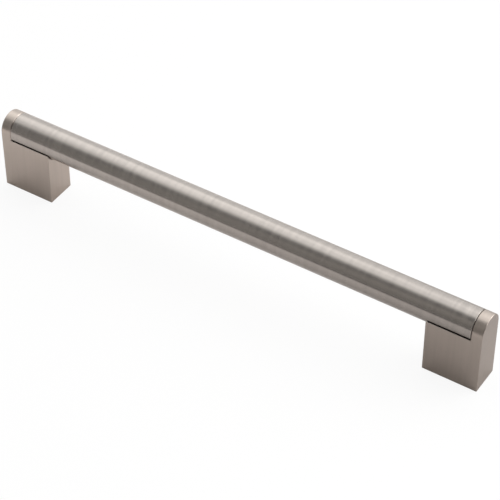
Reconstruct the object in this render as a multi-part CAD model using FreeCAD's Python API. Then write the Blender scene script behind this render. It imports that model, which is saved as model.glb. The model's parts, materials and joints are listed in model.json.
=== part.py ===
import FreeCAD, Part
import math
import os

# Round bar cabinet pull.
# A brushed steel tube is carried between two cast feet. Each foot is one casting: a block
# that stands under the bar, a keyhole-shaped head that closes the end of the bar flush with
# its surface, and a ribbed spigot that is pressed into the tube. One machine screw from
# behind the door holds each foot.
#
# Millimetres. X runs along the bar, Y across it and Z away from the door. The origin lies
# on the face of the door, midway between the two fixing holes.

# Driving dimensions of the whole pull
fixing_centres = 224.0      # between the two screws, seven pitches of 32 mm
hole_to_end_face = 6.0      # screw axis to the outer end face of its foot
axis_height = 29.0          # face of the door to the axis of the bar

# Bar
bar_diameter = 14.0
tube_wall = 1.0
tube_outer_chamfer = 0.1    # broken outer edge at each sawn end
tube_bore_chamfer = 0.2     # deburred edge of the bore

# Foot
foot_length = 25.0          # along the bar, from the outer end face
head_thickness = 5.0        # keyhole head that closes the end of the bar
saddle_gap = 0.35           # air between the bar and the block under it
rim_width = 0.2             # top of the side walls, beside the trough
rim_slope = 27.0            # degrees, the fall of that top towards the outside

# Joint between the tube and a foot
seam_width = 0.1            # hairline between the head and the end of the tube
seam_depth = 0.6            # surface of the bar down to the collar that the tube butts on
spigot_length = 12.0        # reach of the spigot into the tube
spigot_clearance = 0.2      # all round, between the spigot and the bore
spigot_chamfer = 0.8        # lead-in at the tip
rib_count = 6
rib_radius = 0.7            # rounding of a crush rib
rib_clearance = 0.02        # left between a rib and the bore once it is crushed

# Screw hole, drilled and tapped M4. The thread's ridges aren't cut: the hole is as wide as
# their roots, so that a screw's solid goes in.
thread_diameter = 4.0
root_clearance = 0.05       # all round the screw, at the roots of the thread
thread_depth = 12.0
drill_diameter = 3.3
drill_run_out = 2.0         # straight part of the drilled hole beyond the thread
drill_point_angle = 118.0
countersink_margin = 0.3    # of the mouth beyond the roots of the thread

# Edges of the casting
end_face_rounding = 0.25
upright_rounding = 0.2      # upright edges under the bar
base_rounding = 0.15        # round the face that meets the door
seam_chamfer = 0.4          # edge of the head beside the tube
trough_chamfer = 0.15       # open end of the trough

# Worked out from the sizes above
bar_radius = bar_diameter / 2
bore_radius = bar_radius - tube_wall
half_width = bar_radius
hole_x = fixing_centres / 2
outer_x = hole_x + hole_to_end_face
head_x = outer_x - head_thickness
inner_x = outer_x - foot_length
tube_end_x = head_x - seam_width
trough_radius = bar_radius + saddle_gap
rim_y = half_width - rim_width
rim_z = axis_height - math.sqrt(trough_radius ** 2 - rim_y ** 2)
rim_rise = math.tan(math.radians(rim_slope))

ORIGIN = FreeCAD.Vector(0, 0, 0)
ALONG = FreeCAD.Vector(1, 0, 0)
UP = FreeCAD.Vector(0, 0, 1)
FULL_TURN = 360
SAME = 1e-6                 # two coordinates closer than this are one and the same


def turned(section, axis_point, axis):
    """A solid of revolution: the closed section is a list of points beside the axis."""
    face = Part.Face(Part.makePolygon(section + section[:1]))
    return face.revolve(axis_point, axis, FULL_TURN)


def turned_on_bar(section):
    """Turns (x, radius) pairs about the axis of the bar."""
    points = [FreeCAD.Vector(x, 0, axis_height + radius) for x, radius in section]
    return turned(points, FreeCAD.Vector(0, 0, axis_height), ALONG)


def bar_tube():
    """The steel tube, cut square and with its ends deburred inside and out."""
    outer_x_at_surface = tube_end_x - tube_outer_chamfer
    outer_x_in_bore = tube_end_x - tube_bore_chamfer
    return turned_on_bar([
        (-outer_x_in_bore, bore_radius),
        (outer_x_in_bore, bore_radius),
        (tube_end_x, bore_radius + tube_bore_chamfer),
        (tube_end_x, bar_radius - tube_outer_chamfer),
        (outer_x_at_surface, bar_radius),
        (-outer_x_at_surface, bar_radius),
        (-tube_end_x, bar_radius - tube_outer_chamfer),
        (-tube_end_x, bore_radius + tube_bore_chamfer),
    ])


def keyhole_head():
    """The head: upright sides to the axis of the bar, then a half round of its radius.

    Its edge beside the tube is chamfered from end to end, and the block fills the stretch
    below the trough again.
    """
    near_base = FreeCAD.Vector(head_x, -half_width, 0)
    near_shoulder = FreeCAD.Vector(head_x, -half_width, axis_height)
    crown = FreeCAD.Vector(head_x, 0, axis_height + bar_radius)
    far_shoulder = FreeCAD.Vector(head_x, half_width, axis_height)
    far_base = FreeCAD.Vector(head_x, half_width, 0)
    outline = Part.Wire([
        Part.LineSegment(near_base, near_shoulder).toShape(),
        Part.Arc(near_shoulder, crown, far_shoulder).toShape(),
        Part.LineSegment(far_shoulder, far_base).toShape(),
        Part.LineSegment(far_base, near_base).toShape(),
    ])
    head = Part.Face(outline).extrude(ALONG * head_thickness)
    return head.makeChamfer(seam_chamfer, edges_where(head, on_seam))


def saddle_block():
    """The block under the bar, with a trough along its top that follows the tube.

    Its top slopes up to a ridge under the bar, and the trough leaves only the two rims of it.
    It reaches into the head by the head's chamfer, so that no notch is left between them.
    """
    length = head_x - inner_x
    wall_z = rim_z - rim_width * rim_rise
    ridge_z = rim_z + rim_y * rim_rise
    block = Part.Face(Part.makePolygon([
        FreeCAD.Vector(inner_x, -half_width, 0),
        FreeCAD.Vector(inner_x, half_width, 0),
        FreeCAD.Vector(inner_x, half_width, wall_z),
        FreeCAD.Vector(inner_x, 0, ridge_z),
        FreeCAD.Vector(inner_x, -half_width, wall_z),
        FreeCAD.Vector(inner_x, -half_width, 0),
    ])).extrude(ALONG * (length + seam_chamfer))
    trough_start = FreeCAD.Vector(inner_x, 0, axis_height)
    trough = Part.makeCylinder(trough_radius, length, trough_start, ALONG)
    return block.cut(trough)


def spigot():
    """The collar that the tube butts on, and the ribbed spigot that it is pressed over."""
    tip_x = tube_end_x - spigot_length
    spigot_radius = bore_radius - spigot_clearance
    core = turned_on_bar([
        (head_x, 0),
        (head_x, bar_radius - seam_depth),
        (tube_end_x, bar_radius - seam_depth),
        (tube_end_x, spigot_radius),
        (tip_x + spigot_chamfer, spigot_radius),
        (tip_x, spigot_radius - spigot_chamfer),
        (tip_x, 0),
    ])
    ribs = [crush_rib(tip_x, FULL_TURN * index / rib_count) for index in range(rib_count)]
    return core.fuse(ribs)


def crush_rib(tip_x, angle):
    """One rib along the spigot, stopping short of the lead-in at the tip."""
    start = FreeCAD.Vector(tip_x + spigot_chamfer, 0, axis_height)
    length = spigot_length - spigot_chamfer
    rib = Part.makeCylinder(rib_radius, length, start, ALONG)
    rib.translate(UP * (bore_radius - rib_clearance - rib_radius))
    rib.rotate(start, ALONG, angle)
    return rib


def screw_hole():
    """The tapped stretch with its countersunk mouth, then the drilled stretch and its point."""
    root_radius = thread_diameter / 2 + root_clearance
    drill_radius = drill_diameter / 2
    drill_depth = thread_depth + drill_run_out
    point_depth = drill_radius / math.tan(math.radians(drill_point_angle / 2))
    section = [
        (0, 0),
        (root_radius + countersink_margin, 0),
        (root_radius, countersink_margin),
        (root_radius, thread_depth),
        (drill_radius, thread_depth),
        (drill_radius, drill_depth),
        (0, drill_depth + point_depth),
    ]
    points = [FreeCAD.Vector(hole_x + across, 0, z) for across, z in section]
    return turned(points, FreeCAD.Vector(hole_x, 0, 0), UP)


def same(value, target):
    return abs(value - target) < SAME


def edges_where(shape, belongs):
    """The edges whose middle and two ends all pass the test."""
    chosen = []
    for edge in shape.Edges:
        middle = edge.valueAt((edge.FirstParameter + edge.LastParameter) / 2)
        spots = [middle] + [vertex.Point for vertex in edge.Vertexes]
        if all(belongs(spot) for spot in spots):
            chosen.append(edge)
    return chosen


def on_side(spot):
    return same(abs(spot.y), half_width)


def on_end_face(spot):
    return same(spot.x, outer_x)


def on_upright(spot):
    return same(spot.x, inner_x) and on_side(spot)


def on_base(spot):
    return same(spot.z, 0)


def on_seam(spot):
    outside = on_side(spot) or spot.z > axis_height
    return same(spot.x, head_x) and outside


def on_trough_end(spot):
    return same(spot.x, inner_x) and same(math.hypot(spot.y, spot.z - axis_height), trough_radius)


def with_soft_edges(casting):
    """Rounds the broad edges, the largest rounding first, and breaks the finest ones."""
    for rounding, belongs in [
        (end_face_rounding, on_end_face),
        (upright_rounding, on_upright),
        (base_rounding, on_base),
    ]:
        casting = casting.makeFillet(rounding, edges_where(casting, belongs))
    return casting.makeChamfer(trough_chamfer, edges_where(casting, on_trough_end))


def right_foot():
    casting = keyhole_head().fuse(saddle_block()).removeSplitter()
    casting = with_soft_edges(casting)
    return casting.fuse(spigot()).cut(screw_hole()).removeSplitter()


def left_foot():
    """The same casting as the right foot, turned to face it."""
    casting = right_foot()
    casting.rotate(ORIGIN, UP, FULL_TURN / 2)
    return casting


def main():
    os.makedirs("parts", exist_ok=True)
    nodes = {"bar_tube": bar_tube(), "left_foot": left_foot(), "right_foot": right_foot()}
    for name, shape in nodes.items():
        shape.exportStep("parts/" + name + ".step")
        print(name, "valid", shape.isValid(), "solids", len(shape.Solids), "mm3", round(shape.Volume, 1))


main()
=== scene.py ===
# %% [markdown]
# # A round bar cabinet pull in brushed steel
#
# The pull is a steel tube held between two cast feet. Its solids come from a CAD model
# and arrive here as a fixed frame: every object is in metres, X runs along the bar, Y
# across it and Z away from the door, with the door's face at Z = 0. Blender never moves
# or reshapes those solids. It gives them their finish, adds what is too fine for the CAD
# model, and builds the studio around them.

# %% Load the frame
import json
import math

import bmesh
import bpy
from mathutils import Matrix, Vector


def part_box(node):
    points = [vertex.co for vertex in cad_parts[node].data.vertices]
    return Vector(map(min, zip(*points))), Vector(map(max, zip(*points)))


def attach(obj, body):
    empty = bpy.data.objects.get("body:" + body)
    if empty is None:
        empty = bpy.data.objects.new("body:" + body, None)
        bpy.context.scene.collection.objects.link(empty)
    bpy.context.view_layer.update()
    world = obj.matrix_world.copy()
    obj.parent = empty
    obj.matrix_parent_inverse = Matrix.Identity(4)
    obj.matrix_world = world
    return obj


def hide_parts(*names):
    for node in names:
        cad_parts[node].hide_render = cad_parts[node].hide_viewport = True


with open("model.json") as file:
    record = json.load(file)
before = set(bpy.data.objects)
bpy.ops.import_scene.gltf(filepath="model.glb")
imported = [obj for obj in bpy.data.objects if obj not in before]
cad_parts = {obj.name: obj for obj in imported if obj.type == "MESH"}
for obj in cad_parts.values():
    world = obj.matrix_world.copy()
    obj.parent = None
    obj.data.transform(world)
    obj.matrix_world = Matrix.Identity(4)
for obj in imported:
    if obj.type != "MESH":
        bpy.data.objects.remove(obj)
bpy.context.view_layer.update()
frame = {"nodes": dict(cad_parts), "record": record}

MM = 0.001

scene = bpy.context.scene
nodes = frame["nodes"]
print("solids:", sorted(nodes))

# %% [markdown]
# ## Sizes read from the frame
#
# The bar's radius, the height of its axis and the planes of its two cut ends are all read
# from the box of the tube's solid, so a new CAD size moves everything below with it. Only
# the few sizes that a box can't tell, such as the wall of the tube, are written down, and
# they are written once.

# %% Sizes of the bar
tube_low, tube_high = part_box("bar_tube")
bar_radius = (tube_high.z - tube_low.z) / 2
axis_height = (tube_high.z + tube_low.z) / 2
tube_end = tube_high.x
tube_wall = 1.0 * MM
outer_chamfer = 0.1 * MM
bore_chamfer = 0.2 * MM
seam_width = 0.1 * MM       # between the end of the tube and the head of a foot
saddle_gap = 0.35 * MM      # air between the tube and the trough under it
bore_radius = bar_radius - tube_wall
print("bar radius", round(bar_radius / MM, 3), "mm, axis at", round(axis_height / MM, 3), "mm")

# %% [markdown]
# ## Helpers for meshes
#
# A bmesh is Blender's editable mesh. Both of the shapes made here start as a small closed
# loop of edges, which an operator then carries round an axis. When a shape is done, one
# helper closes its doubles, turns all its faces outwards, and makes an object whose place
# is in its mesh: the object itself stays at the origin, unturned, so a pattern on object
# coordinates lies on the piece exactly where it lies in the frame.
#
# The operator makes the same faces every time, but in an order that changes from run to
# run. So the faces are also put in order, and the mesh is the same on every run.

# %% Draw a loop, and turn a bmesh into a piece
WELD = 1e-7
CREASE = math.radians(30)


def closed_loop(bm, points):
    """Joins the points into a closed loop. Returns its vertices and its edges."""
    verts = [bm.verts.new(point) for point in points]
    edges = [bm.edges.new((verts[i - 1], verts[i])) for i in range(len(verts))]
    return verts, edges


def sort_faces(bm):
    """Puts the faces in the order of their corners."""
    bm.verts.index_update()
    order = sorted(bm.faces, key=lambda face: sorted(vert.index for vert in face.verts))
    for index, face in enumerate(order):
        face.index = index
    bm.faces.sort()


def finish_mesh(bm, name):
    """Makes an object of the bmesh, smooth over gentle bends and crisp at real edges."""
    bmesh.ops.remove_doubles(bm, verts=bm.verts[:], dist=WELD)
    bmesh.ops.recalc_face_normals(bm, faces=bm.faces[:])
    sort_faces(bm)
    for face in bm.faces:
        face.smooth = True
    for edge in bm.edges:
        edge.smooth = edge.is_manifold and edge.calc_face_angle() < CREASE
    mesh = bpy.data.meshes.new(name)
    bm.to_mesh(mesh)
    bm.free()
    piece = bpy.data.objects.new(name, mesh)
    scene.collection.objects.link(piece)
    print(name, "has", len(mesh.polygons), "faces")
    return piece


# %% [markdown]
# ## The bar
#
# The real bar is drawn steel tube, sawn to length and deburred, then brushed on a belt
# while it turns. A cylinder primitive would do for the outside, but it has no wall, no
# bore and no broken edges at the seams. A lathe is the natural tool for a round part:
# the section of the wall is drawn once as a closed loop of edges beside the axis, and
# the spin operator turns it through a full circle. The solid from the CAD model has
# about thirty flats round it, so this finer copy of the same size stands in for it.

# %% Spin the wall of the tube
BAR_STEPS = 192

half_section = [
    (tube_end - bore_chamfer, bore_radius),
    (tube_end, bore_radius + bore_chamfer),
    (tube_end, bar_radius - outer_chamfer),
    (tube_end - outer_chamfer, bar_radius),
]
section = half_section + [(-x, radius) for x, radius in reversed(half_section)]

bm = bmesh.new()
verts, edges = closed_loop(bm, [(x, 0, axis_height + radius) for x, radius in section])
bmesh.ops.spin(
    bm,
    geom=verts + edges,
    cent=(0, 0, axis_height),
    axis=(1, 0, 0),
    angle=math.tau,
    steps=BAR_STEPS,
    use_merge=True,
)
brushed_bar = finish_mesh(bm, "brushed_bar")

# %% [markdown]
# ## The screw threads
#
# Each foot has one hole tapped M4, which the CAD model leaves smooth and as wide as the
# roots of the thread. A thread is a ridge that climbs as it goes round, so it is another
# spin, this time with a small step along the axis at every turn of the tool. The ridge's
# section is a closed loop, flat at its crest, with its roots sunk a hair into the wall
# of the hole, and the two ends are capped so that the ridge is a closed body.

# %% Spin the ridge of a thread
THREAD_PITCH = 0.7 * MM
CREST_RADIUS = 3.3 * MM / 2
ROOT_RADIUS = 4.1 * MM / 2
ROOT_SINK = 0.03 * MM
ROOT_SHARE = 0.92           # of the pitch, the width of the ridge at its roots
CREST_SHARE = 0.18          # of the pitch, the width of its flat crest
THREAD_START = 0.35 * MM
THREAD_DEPTH = 11.9 * MM
THREAD_STEPS = 40           # in each turn

fixing = frame["record"]["mounts"][0]
hole_x = fixing["dims"]["spacing_x_mm"] * MM / 2


def screw_thread(name, centre_x):
    """The ridge of one tapped hole, from just inside its mouth to just short of its end."""
    # One turn fewer than the pitch allows, because the ridge is nearly a pitch wide itself.
    turns = int((THREAD_DEPTH - THREAD_START) / THREAD_PITCH) - 1
    half_root = THREAD_PITCH * ROOT_SHARE / 2
    half_crest = THREAD_PITCH * CREST_SHARE / 2
    outer = ROOT_RADIUS + ROOT_SINK
    first = THREAD_START + half_root
    profile = [
        (outer, first - half_root),
        (CREST_RADIUS, first - half_crest),
        (CREST_RADIUS, first + half_crest),
        (outer, first + half_root),
    ]
    bm = bmesh.new()
    verts, edges = closed_loop(bm, [(centre_x + radius, 0, z) for radius, z in profile])
    bm.faces.new(verts)
    made = bmesh.ops.spin(
        bm,
        geom=verts + edges,
        cent=(centre_x, 0, 0),
        axis=(0, 0, 1),
        dvec=(0, 0, THREAD_PITCH / THREAD_STEPS),
        angle=math.tau * turns,
        steps=THREAD_STEPS * turns,
    )
    last = [item for item in made["geom_last"] if isinstance(item, bmesh.types.BMVert)]
    bmesh.ops.contextual_create(bm, geom=last)
    return finish_mesh(bm, name)


threads = [screw_thread("left_thread", -hole_x), screw_thread("right_thread", hole_x)]

# %% [markdown]
# ## Helpers for nodes
#
# A material is a small graph of nodes. Most of what is built below is arithmetic on a few
# values, so these helpers each add one node and give back its output, and they take a
# plain number or colour as readily as another node's output.

# %% Add one node at a time
def new_material(name):
    """An empty material and its tree of nodes."""
    material = bpy.data.materials.new(name)
    material.use_nodes = True
    tree = material.node_tree
    tree.nodes.clear()
    return material, tree


def add(tree, kind, **inputs):
    """Adds a node. Names of inputs are written with underscores for spaces."""
    node = tree.nodes.new(kind)
    for name, value in inputs.items():
        node.inputs[name.replace("_", " ")].default_value = value
    return node


def feed(tree, socket, value):
    """Gives a socket a plain number or a colour, or links another node's output to it."""
    if isinstance(value, bpy.types.NodeSocket):
        tree.links.new(value, socket)
    elif isinstance(value, tuple):
        socket.default_value = (*value, 1)
    else:
        socket.default_value = value


def math_node(tree, operation, first, second=0.0):
    """Arithmetic on one or two values."""
    node = tree.nodes.new("ShaderNodeMath")
    node.operation = operation
    feed(tree, node.inputs[0], first)
    feed(tree, node.inputs[1], second)
    return node.outputs["Value"]


def map_range(tree, value, old, new):
    """Maps a value from one range onto another. A range is its low and its high end."""
    node = add(
        tree,
        "ShaderNodeMapRange",
        From_Min=old[0],
        From_Max=old[1],
        To_Min=new[0],
        To_Max=new[1],
    )
    feed(tree, node.inputs["Value"], value)
    return node.outputs["Result"]


def blend(tree, factor, first, second, kind="FLOAT"):
    """Goes from the first value to the second as the factor goes from nought to one."""
    node = tree.nodes.new("ShaderNodeMix")
    node.data_type = kind
    for name, value in (("Factor", factor), ("A", first), ("B", second)):
        feed(tree, node.inputs[name], value)
    return node.outputs["Result"]


def blend_colours(tree, factor, first, second):
    """The same for colours, each three numbers or another node's output."""
    return blend(tree, factor, first, second, kind="RGBA")


# %% [markdown]
# ## Helpers for brushed metal
#
# Brushed metal is a mirror with fine scratches that all run one way. Three things make
# it: a metallic shader whose highlight is smeared across the scratches (anisotropy), a
# streaky pattern that changes the colour and the roughness a little, and the same streaks
# as a very shallow bump. The streaks are noise, read from object coordinates that are
# squeezed across the scratches and stretched along them. Squeezing is a Mapping node's
# scale, so the pattern stays on the metal from every side. Each metal has fine streaks,
# which are single scratches, and broad ones, which are passes of the belt.

# %% Streaks, and a shader that wears them
FINE_DETAIL = 3.0
BROAD_DETAIL = 2.0
NOISE_ROUGHNESS = 0.6
NOISE_RANGE = (0.3, 0.7)    # the middle of a noise, where most of it lies


def streaks(tree, scale, detail):
    """Noise on object coordinates, with its own scale along each axis, in waves a metre."""
    place = tree.nodes.new("ShaderNodeTexCoord")
    mapping = add(tree, "ShaderNodeMapping", Scale=scale)
    noise = add(
        tree, "ShaderNodeTexNoise", Scale=1.0, Detail=detail, Roughness=NOISE_ROUGHNESS
    )
    tree.links.new(place.outputs["Object"], mapping.inputs["Vector"])
    tree.links.new(mapping.outputs["Vector"], noise.inputs["Vector"])
    return noise.outputs["Fac"]


def brushed_shader(tree, anisotropy, smear):
    """A metal whose highlight is smeared along a direction."""
    shader = add(tree, "ShaderNodeBsdfPrincipled", Metallic=1.0, Anisotropic=anisotropy)
    direction = add(tree, "ShaderNodeCombineXYZ", X=smear[0], Y=smear[1], Z=smear[2])
    tree.links.new(direction.outputs["Vector"], shader.inputs["Tangent"])
    return shader


def finish_metal(tree, shader, colour, roughness, height, depth):
    """Joins colour, roughness and bump to the shader, and the shader to the output."""
    bump = add(tree, "ShaderNodeBump", Strength=1.0, Distance=depth)
    output = tree.nodes.new("ShaderNodeOutputMaterial")
    tree.links.new(colour, shader.inputs["Base Color"])
    tree.links.new(roughness, shader.inputs["Roughness"])
    tree.links.new(height, bump.inputs["Height"])
    tree.links.new(bump.outputs["Normal"], shader.inputs["Normal"])
    tree.links.new(shader.outputs["BSDF"], output.inputs["Surface"])


# %% [markdown]
# ## Brushed steel for the bar
#
# The bar was turned against the belt, so its scratches run round it and its highlights
# are smeared along it. Across the bar the reflections stay sharp: that is why a round
# brushed bar shows crisp light and dark bands from end to end.

# %% Material of the bar
STEEL_DARK = (0.368, 0.340, 0.315)
STEEL_LIGHT = (0.447, 0.412, 0.380)
STEEL_ROUGHNESS = (0.21, 0.25)
STEEL_ANISOTROPY = 1.0
STEEL_SMEAR = (1.0, 0.03, 0.02)
STEEL_FINE = (5200, 90, 90)
STEEL_BROAD = (420, 24, 24)
STEEL_BROAD_SHARE = 0.68
STEEL_SCRATCH = 0.0025 * MM

steel, tree = new_material("brushed_steel")
fine = streaks(tree, STEEL_FINE, FINE_DETAIL)
broad = streaks(tree, STEEL_BROAD, BROAD_DETAIL)
both = blend(tree, STEEL_BROAD_SHARE, fine, broad)
level = map_range(tree, both, NOISE_RANGE, (0, 1))
finish_metal(
    tree,
    brushed_shader(tree, STEEL_ANISOTROPY, STEEL_SMEAR),
    colour=blend_colours(tree, level, STEEL_DARK, STEEL_LIGHT),
    roughness=map_range(tree, both, NOISE_RANGE, STEEL_ROUGHNESS),
    height=fine,
    depth=STEEL_SCRATCH,
)
print("material", steel.name, "with", len(tree.nodes), "nodes")

# %% [markdown]
# ## Painted shade in the trough
#
# The trough under the bar is given a dark colour, which is painted shade: it makes the
# slit beside the bar as dark as it looks on the real pull. The trough is also made dull.
# A second material would need faces of its own, but a CAD solid's mesh is left alone. So
# the trough is found inside the material: it is what lies close round the bar's axis
# between the two heads, and a distance from that axis comes from object coordinates.

# %% Find the trough
# The trough's dark colour is painted shade.
TROUGH_PAINTED_SHADE = (0.12, 0.11, 0.10)
TROUGH_ROUGHNESS = 0.6
TROUGH_MARGIN = 0.02 * MM   # beyond the face of the trough, to be sure to hold it


def in_trough(tree):
    """One in the trough and out of sight inside the bar, and nought elsewhere."""
    place = tree.nodes.new("ShaderNodeTexCoord")
    along = tree.nodes.new("ShaderNodeSeparateXYZ")
    across = add(tree, "ShaderNodeMapping", Scale=(0, 1, 1), Location=(0, 0, -axis_height))
    radius = tree.nodes.new("ShaderNodeVectorMath")
    radius.operation = "LENGTH"
    tree.links.new(place.outputs["Object"], along.inputs["Vector"])
    tree.links.new(place.outputs["Object"], across.inputs["Vector"])
    tree.links.new(across.outputs["Vector"], radius.inputs[0])
    reach = math_node(tree, "ABSOLUTE", along.outputs["X"])
    between = math_node(tree, "LESS_THAN", reach, tube_end + seam_width)
    trough_radius = bar_radius + saddle_gap + TROUGH_MARGIN
    near = math_node(tree, "LESS_THAN", radius.outputs["Value"], trough_radius)
    return math_node(tree, "MULTIPLY", near, between)


print("dull skin within", round((saddle_gap + TROUGH_MARGIN) / MM, 2), "mm of the bar")

# %% [markdown]
# ## Satin nickel for the feet
#
# A foot is held against the belt one face at a time. Its sides and its ends are brushed
# upright, and over the round of the head the scratches follow the curve, in line with
# those of the bar. So the streaks on faces that look along the bar are squeezed across
# the foot, and those on every other face are squeezed along it. The face's own normal
# picks between the two patterns.
#
# The smear's direction is a hair off the bar's own. On a face that looks straight along
# the bar, an exact one would point out of the face and leave the smear no direction.

# %% Material of the feet
NICKEL_DARK = (0.431, 0.379, 0.337)
NICKEL_LIGHT = (0.480, 0.421, 0.375)
NICKEL_ROUGHNESS = (0.31, 0.37)
NICKEL_ANISOTROPY = 0.8
NICKEL_SMEAR = (1.0, 0.05, 0.02)
NICKEL_FINE = (4200, 70)
NICKEL_BROAD = (600, 30)
NICKEL_BROAD_SHARE = 0.6
NICKEL_SCRATCH = 0.003 * MM


def streaks_by_face(tree, facing, scales, detail):
    """Streaks squeezed along the bar, or across it on a face that looks along the bar."""
    squeezed, stretched = scales
    sides = streaks(tree, (squeezed, stretched, stretched), detail)
    ends = streaks(tree, (stretched, squeezed, stretched), detail)
    return blend(tree, facing, sides, ends)


nickel, tree = new_material("satin_nickel")
geometry = tree.nodes.new("ShaderNodeNewGeometry")
normal = tree.nodes.new("ShaderNodeSeparateXYZ")
tree.links.new(geometry.outputs["Normal"], normal.inputs["Vector"])
facing = math_node(tree, "ABSOLUTE", normal.outputs["X"])
fine = streaks_by_face(tree, facing, NICKEL_FINE, FINE_DETAIL)
broad = streaks_by_face(tree, facing, NICKEL_BROAD, BROAD_DETAIL)
both = blend(tree, NICKEL_BROAD_SHARE, fine, broad)
level = map_range(tree, both, NOISE_RANGE, (0, 1))
colour = blend_colours(tree, level, NICKEL_DARK, NICKEL_LIGHT)
roughness = map_range(tree, both, NOISE_RANGE, NICKEL_ROUGHNESS)
# The trough gets painted shade: a dark colour where the slit beside the bar lies in shade.
trough = in_trough(tree)
finish_metal(
    tree,
    brushed_shader(tree, NICKEL_ANISOTROPY, NICKEL_SMEAR),
    colour=blend_colours(tree, trough, colour, TROUGH_PAINTED_SHADE),
    roughness=blend(tree, trough, roughness, TROUGH_ROUGHNESS),
    height=fine,
    depth=NICKEL_SCRATCH,
)
print("material", nickel.name, "with", len(tree.nodes), "nodes")

# %% [markdown]
# ## Dressing the pieces
#
# The feet keep their CAD solids and only change material. The bar and the threads are
# new, so each one is told which body it rides on and given its material. The bar also
# stands in for the solid of the tube.

# %% Give every piece its finish
for name in ("left_foot", "right_foot"):
    nodes[name].material_slots[0].material = nickel
nodes["bar_tube"].material_slots[0].material = steel

brushed_bar.data.materials.append(steel)
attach(brushed_bar, "root")
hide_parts("bar_tube")

for thread in threads:
    thread.data.materials.append(nickel)
    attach(thread, "root")

# %% [markdown]
# ## White behind the pull
#
# The photograph's background is pure white, but a floor that bright would light the pull
# from below and lose its shadow. A Light Path node tells what kind of ray has arrived, so
# the floor and the world can each show a share of pure white to the camera, and a smaller
# share to rays that come off a mirror or through glass. With a full share for mirrors, the
# shadow would be gone from the reflections as well.

# %% Share of white, by kind of ray
WHITE_FOR_MIRRORS = 0.10


def share_of_white(tree, for_camera):
    """The share of white that a ray is shown, and whether it comes from the camera."""
    path = tree.nodes.new("ShaderNodeLightPath")
    glossy = path.outputs["Is Glossy Ray"]
    through = path.outputs["Is Transmission Ray"]
    is_camera = path.outputs["Is Camera Ray"]
    seen = math_node(tree, "MULTIPLY", is_camera, for_camera)
    in_mirror = math_node(tree, "ADD", glossy, through)
    mirrored = math_node(tree, "MULTIPLY", in_mirror, WHITE_FOR_MIRRORS)
    return math_node(tree, "ADD", seen, mirrored), is_camera


def mix_with_white(tree, share, plain, white, output):
    """Sends the plain shader to the output, with white mixed in by its share."""
    mix = tree.nodes.new("ShaderNodeMixShader")
    tree.links.new(share, mix.inputs["Fac"])
    tree.links.new(plain, mix.inputs[1])
    tree.links.new(white, mix.inputs[2])
    tree.links.new(mix.outputs["Shader"], output.inputs["Surface"])


# %% [markdown]
# ## The floor
#
# Brushed metal has hardly any colour of its own: what it shows is the room. Below the
# horizon that is the floor, so the floor is a pale sheet of paper, faintly warm. Painted
# light makes it brighter on the left, and painted shade makes it dark in front. It takes
# light and shadow, and the shadow beside the feet darkens the lower part of their faces.
# A floor is flat, so a grid of a single face is all that its mesh needs. It isn't part of
# the pull.

# %% A wide, flat sheet
FLOOR_HALF = 15.0

bm = bmesh.new()
bmesh.ops.create_grid(bm, x_segments=1, y_segments=1, size=FLOOR_HALF)
floor = finish_mesh(bm, "floor")
print("floor", FLOOR_HALF * 2, "m wide")

# %% [markdown]
# ## The paper
#
# Two ranges of the sheet's object coordinates are multiplied. One is painted light, which
# dims the paper from left to right under the pull. The other is painted shade, a dark band
# in front that turns into paper at the paper's edge. The camera is shown the paper in one
# even, pale grey, so that both ranges stay out of the picture and only the pull's shadow
# is left on it.

# %% Material of the floor
# The levels from left to right are painted light, and the dark level in front is painted
# shade.
PAPER_PAINTED_LIGHT_LEFT = 0.99
PAPER_PAINTED_LIGHT_RIGHT = 0.53
PAPER_HALF = 0.15           # metres to each side of the pull's middle
PAPER_FRONT = (-0.26, -0.19)
FRONT_PAINTED_SHADE = 0.25
PAPER_TINT = (1.0, 0.958, 0.945)
SEEN_PAPER = (0.95, 0.95, 0.95)
WHITE_FOR_CAMERA = 0.9

paper, tree = new_material("pale_floor")
place = tree.nodes.new("ShaderNodeTexCoord")
axes = tree.nodes.new("ShaderNodeSeparateXYZ")
tree.links.new(place.outputs["Object"], axes.inputs["Vector"])
under_pull = (-PAPER_HALF, PAPER_HALF)
# Painted light: the paper dims from left to right.
across = map_range(tree, axes.outputs["X"], under_pull, (PAPER_PAINTED_LIGHT_LEFT, PAPER_PAINTED_LIGHT_RIGHT))
# Painted shade: the paper darkens in front.
painted_front_shade = map_range(tree, axes.outputs["Y"], PAPER_FRONT, (FRONT_PAINTED_SHADE, 1.0))
grey = math_node(tree, "MULTIPLY", across, painted_front_shade)

tinted = tree.nodes.new("ShaderNodeVectorMath")
tinted.operation = "SCALE"
tinted.inputs[0].default_value = PAPER_TINT
tree.links.new(grey, tinted.inputs["Scale"])

share, is_camera = share_of_white(tree, WHITE_FOR_CAMERA)
sheet = tree.nodes.new("ShaderNodeBsdfDiffuse")
colour = blend_colours(tree, is_camera, tinted.outputs["Vector"], SEEN_PAPER)
tree.links.new(colour, sheet.inputs["Color"])
white = add(tree, "ShaderNodeEmission", Strength=1.0)
output = tree.nodes.new("ShaderNodeOutputMaterial")
mix_with_white(tree, share, sheet.outputs["BSDF"], white.outputs["Emission"], output)
floor.data.materials.append(paper)
print("material", paper.name, "with", len(tree.nodes), "nodes")

# %% [markdown]
# ## The room
#
# The bands on the bar tell how the studio was lit. From top to bottom the bar shows a
# broad bright band, then a step into a dark band, then a middle grey that is the floor. A
# point on the bar reflects one direction of the room, so the bands are a map of it: dim
# on the camera's side, bright overhead and behind. The world's colour is therefore a soft
# gradient that leans away from the camera's side. It belongs to the room and not to the
# camera, so the pull is lit by the same room from every side.
#
# A place on the gradient is the dot product of a direction with the lean, from -1 to 1.
# Each stop gives such a place, a level of light and a tint.

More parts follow.
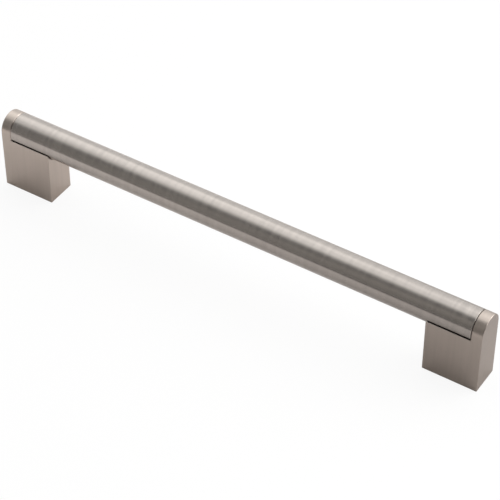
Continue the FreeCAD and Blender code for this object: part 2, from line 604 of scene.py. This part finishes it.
# %% Levels of the room
LEAN = (-0.54, 0.84, 0.0)
ROOM_TOP = 1.8              # the level of a ramp colour of one
WARM = (1.0, 0.95, 0.90)
CLEAN = (1.0, 1.0, 1.0)
ROOM = [
    (-1.0, 0.0, WARM),
    (-0.8, 0.0, WARM),
    (-0.65, 0.11, WARM),
    (-0.55, 0.73, WARM),
    (-0.45, 0.62, WARM),
    (-0.35, 0.0, WARM),
    (-0.05, 0.0, WARM),
    (0.02, 0.58, CLEAN),
    (0.1, 1.56, CLEAN),
    (0.2, 1.73, CLEAN),
    (0.35, 1.02, CLEAN),
    (0.5, 1.02, CLEAN),
    (0.65, 1.38, CLEAN),
    (0.8, 1.49, CLEAN),
    (1.0, 1.07, CLEAN),
]
print("room of", len(ROOM), "stops, brightest", max(level for _, level, _ in ROOM))

# %% [markdown]
# ## The world
#
# A Color Ramp turns the place on the gradient into light. Its stops are made in order, at
# their places, because moving a stop past another would swap the two. The camera itself
# sees plain white behind the pull, and mirrors are given the same small share of white as
# on the floor.

# %% A soft room, dim on one side
world = bpy.data.worlds.new("studio")
scene.world = world
world.use_nodes = True
tree = world.node_tree
tree.nodes.clear()

direction = tree.nodes.new("ShaderNodeTexCoord")
lean = tree.nodes.new("ShaderNodeVectorMath")
lean.operation = "DOT_PRODUCT"
lean.inputs[1].default_value = LEAN
tree.links.new(direction.outputs["Generated"], lean.inputs[0])
ramp = tree.nodes.new("ShaderNodeValToRGB")
position = map_range(tree, lean.outputs["Value"], (-1.0, 1.0), (0.0, 1.0))
tree.links.new(position, ramp.inputs["Fac"])

stops = ramp.color_ramp.elements
stops.remove(stops[1])
for index, (where, level, tint) in enumerate(ROOM):
    stop = stops[0] if index == 0 else stops.new((where + 1) / 2)
    stop.color = (*[level / ROOM_TOP * part for part in tint], 1)

room = add(tree, "ShaderNodeBackground", Strength=ROOM_TOP)
tree.links.new(ramp.outputs["Color"], room.inputs["Color"])
white = add(tree, "ShaderNodeBackground", Color=(1, 1, 1, 1), Strength=1.0)
share, _ = share_of_white(tree, 1.0)
output = tree.nodes.new("ShaderNodeOutputWorld")
mix_with_white(tree, share, room.outputs["Background"], white.outputs["Background"], output)
print("world", world.name, "with", len(tree.nodes), "nodes")

# %% [markdown]
# ## Light as it is
#
# Blender can bend the levels of light on their way to the picture, as film does. The
# Standard view transform leaves them alone, so the white behind the pull stays pure white.

# %% View transform
scene.view_settings.view_transform = "Standard"
print("view transform:", scene.view_settings.view_transform)

# %% [markdown]
# ## Two lamps
#
# Two square area lamps finish the light. A mild one overhead at the back left gives the
# shadow its direction, and a larger, brighter one at the right rear brightens the end face
# on that side. A lamp that is large for its distance makes soft shadows, and a soft, even
# highlight on the metal.

# %% Area lamps aimed at the pull
def soft_lamp(name, place, size, radiance):
    """A square area lamp aimed at the origin, as bright as radiance says at any size."""
    data = bpy.data.lights.new(name, "AREA")
    data.shape = "SQUARE"
    data.size = size
    data.energy = radiance * math.pi * size * size
    lamp = bpy.data.objects.new(name, data)
    scene.collection.objects.link(lamp)
    aim = Vector(place).to_track_quat("Z", "Y").to_matrix().to_4x4()
    lamp.matrix_world = Matrix.Translation(place) @ aim
    lamp.visible_camera = False
    print(name, "gives", round(data.energy, 2), "W")


soft_lamp("key_lamp", (-0.35, 0.30, 0.60), size=0.5, radiance=0.55)
soft_lamp("rear_lamp", (0.66, 0.38, 0.40), size=1.0, radiance=2.3)

# %% [markdown]
# ## The camera
#
# The camera's place was found by matching the pull's outline in the photograph: its
# azimuth and elevation round the pull, its distance, and a long lens that keeps the far
# end of the bar nearly as wide as the near one. Two small slides, to the right and down,
# put the pull where it lies in the photograph.

# %% Camera at the photograph's viewpoint
AZIMUTH = math.radians(32.67)
ELEVATION = math.radians(42.874)
DISTANCE = 847.88 * MM
AIM_HEIGHT = 20.0 * MM
SLIDE_RIGHT = 5.165 * MM
SLIDE_UP = -5.292 * MM
LENS = 146.17
SENSOR_WIDTH = 36.0

back = Vector((
    math.sin(AZIMUTH) * math.cos(ELEVATION),
    -math.cos(AZIMUTH) * math.cos(ELEVATION),
    math.sin(ELEVATION),
))
right = Vector((math.cos(AZIMUTH), math.sin(AZIMUTH), 0))
up = back.cross(right)
camera_data = bpy.data.cameras.new("camera")
camera_data.lens = LENS
camera_data.sensor_width = SENSOR_WIDTH
camera = bpy.data.objects.new("camera", camera_data)
scene.collection.objects.link(camera)
place = Vector((0, 0, AIM_HEIGHT)) + back * DISTANCE + right * SLIDE_RIGHT + up * SLIDE_UP
turn = Matrix((right, up, back)).transposed().to_4x4()
camera.matrix_world = Matrix.Translation(place) @ turn
scene.camera = camera
print("camera at", [round(v, 4) for v in place])
